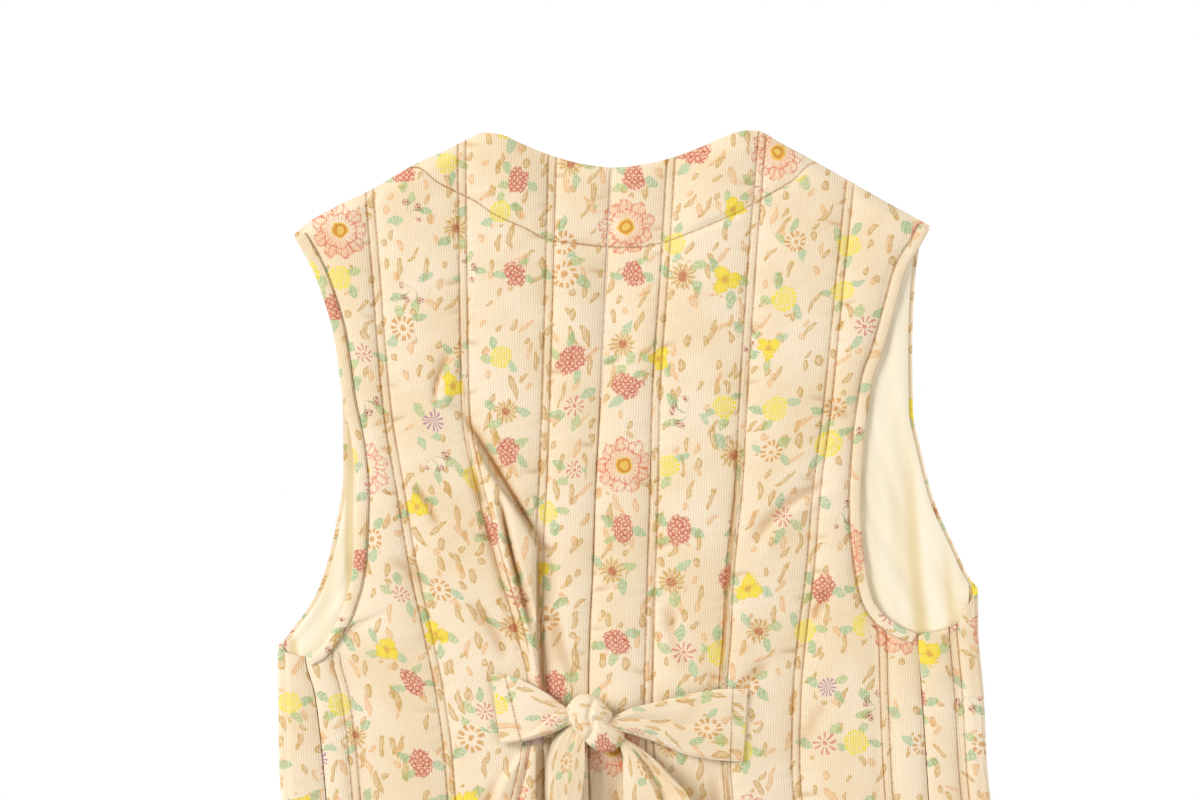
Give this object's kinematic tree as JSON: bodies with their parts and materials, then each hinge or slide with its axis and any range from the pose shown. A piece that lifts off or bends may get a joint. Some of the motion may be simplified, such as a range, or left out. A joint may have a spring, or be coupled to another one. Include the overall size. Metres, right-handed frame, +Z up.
{
  "type": "quilted waistcoat",
  "caption": "Sleeveless quilted cotton waistcoat with a flower print, laid flat with its front down, its back ties knotted in a bow at the waist.",
  "frame": {"origin": "middle of the bounding box, on the surface that the garment lies on", "axes": "+Y from the hem to the neck, +Z up from the surface through the fronts and the back, +X to the right as the back is seen from above"},
  "size_m": [0.51, 0.5995, 0.029],
  "materials": {
    "printed_cotton": "fine corduroy, cream with a print of small flowers",
    "lining_cotton": "plain cream cotton"
  },
  "bodies": {
    "root": {"back_left": "printed_cotton", "back_right": "printed_cotton", "front_left": "printed_cotton", "front_right": "printed_cotton", "lining_left": "lining_cotton", "lining_right": "lining_cotton", "armhole_band_left": "printed_cotton", "armhole_band_right": "printed_cotton", "tie_strap_left": "printed_cotton", "tie_strap_right": "printed_cotton", "tie_tail_left": "printed_cotton", "tie_tail_right": "printed_cotton", "tie_loop_left": "printed_cotton", "tie_loop_right": "printed_cotton", "tie_knot": "printed_cotton"}
  },
  "joints": []
}
